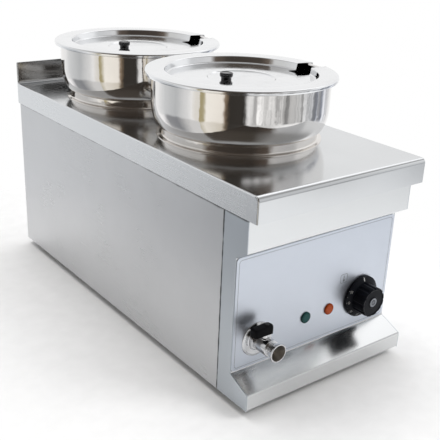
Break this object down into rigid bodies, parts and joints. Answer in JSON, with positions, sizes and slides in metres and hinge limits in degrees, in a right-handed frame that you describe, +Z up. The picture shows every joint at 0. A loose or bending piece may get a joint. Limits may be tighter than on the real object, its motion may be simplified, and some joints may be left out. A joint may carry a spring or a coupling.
{
  "type": "bain marie",
  "caption": "Countertop bain marie: round lidded pots hang in a heated water well above a recessed panel with a dial, signal lamps and a lever drain valve.",
  "frame": {"origin": "on the floor under the feet, in the middle of the box that holds the whole object", "axes": "+Z up, +Y from the front to the rear, +X to the right as seen from the front"},
  "size_m": [0.3, 0.7006, 0.4056],
  "materials": {
    "satin_steel": "satin",
    "polished_steel": "polished",
    "plate_steel": "fine satin with a pale tint",
    "tank_steel": "mill finish",
    "element_sheath": "dull",
    "chrome": "polished",
    "black_plastic": "semi-gloss",
    "knob_cap": "satin",
    "green_lens": "clear and glossy",
    "orange_lens": "clear and glossy",
    "black_moulding": "matte",
    "thermostat_case": "dull grey",
    "brass": "turned",
    "copper": "drawn",
    "white_moulding": "matte",
    "rubber": "matte",
    "fasteners": "bright"
  },
  "bodies": {
    "cabinet": {"base_plate": "tank_steel", "base_screws": "fasteners", "bulb_fitting": "brass", "cable_gland": "black_moulding", "cable_gland_nut": "black_moulding", "capillary_tube": "copper", "control_plate": "plate_steel", "deck": "satin_steel", "deck_nuts": "fasteners", "deck_studs": "fasteners", "drain_pipe": "tank_steel", "drain_valve": "chrome", "earth_nut": "brass", "earth_stud": "brass", "element_fittings": "brass", "element_nuts": "brass", "element_rests": "tank_steel", "foot_screws": "fasteners", "front_left_foot": "rubber", "front_panel": "satin_steel", "front_pot_ring": "polished_steel", "front_right_foot": "rubber", "heating_element": "element_sheath", "heating_lamp_body": "black_moulding", "heating_lamp_lens": "orange_lens", "lamp_nuts": "fasteners", "left_cheek": "satin_steel", "left_side_panel": "satin_steel", "overheat_cutout": "black_moulding", "power_lamp_body": "black_moulding", "power_lamp_lens": "green_lens", "rear_left_foot": "rubber", "rear_panel": "satin_steel", "rear_pot_ring": "polished_steel", "rear_right_foot": "rubber", "rear_screws": "fasteners", "right_cheek": "satin_steel", "right_side_panel": "satin_steel", "sensing_bulb": "tank_steel", "terminal_block": "white_moulding", "thermostat": "thermostat_case", "thermostat_screws": "fasteners", "valve_gland_nut": "chrome", "valve_wall_plate": "chrome", "water_tank": "tank_steel"},
    "thermostat_knob": {"thermostat_knob": "black_plastic", "thermostat_knob_cap": "knob_cap", "thermostat_spindle": "fasteners"},
    "drain_lever": {"valve_lever": "black_plastic", "valve_lever_screw": "chrome", "valve_stem": "chrome", "valve_ball": "chrome"},
    "front_pot": {"front_pot": "polished_steel"},
    "front_lid": {"front_lid": "polished_steel", "front_lid_knob": "black_plastic", "front_lid_screw": "fasteners"},
    "rear_pot": {"rear_pot": "polished_steel"},
    "rear_lid": {"rear_lid": "polished_steel", "rear_lid_knob": "black_plastic", "rear_lid_screw": "fasteners"}
  },
  "joints": [
    {"name": "thermostat_turn", "type": "hinge", "parent": "cabinet", "child": "thermostat_knob", "pos_m": [0.09, -0.30535, 0.1], "axis": [0, 1, 0], "range_deg": [0, 270]},
    {"name": "drain_lever_turn", "type": "hinge", "parent": "cabinet", "child": "drain_lever", "pos_m": [-0.106, -0.32435, 0.1095], "axis": [0, 0, 1], "range_deg": [0, 90]},
    {"name": "front_pot_lift", "type": "slide", "parent": "cabinet", "child": "front_pot", "axis": [0, 0, 1], "range_m": [0, 0.16]},
    {"name": "front_lid_lift", "type": "slide", "parent": "front_pot", "child": "front_lid", "axis": [0, 0, 1], "range_m": [0, 0.08]},
    {"name": "rear_pot_lift", "type": "slide", "parent": "cabinet", "child": "rear_pot", "axis": [0, 0, 1], "range_m": [0, 0.16]},
    {"name": "rear_lid_lift", "type": "slide", "parent": "rear_pot", "child": "rear_lid", "axis": [0, 0, 1], "range_m": [0, 0.08]}
  ]
}
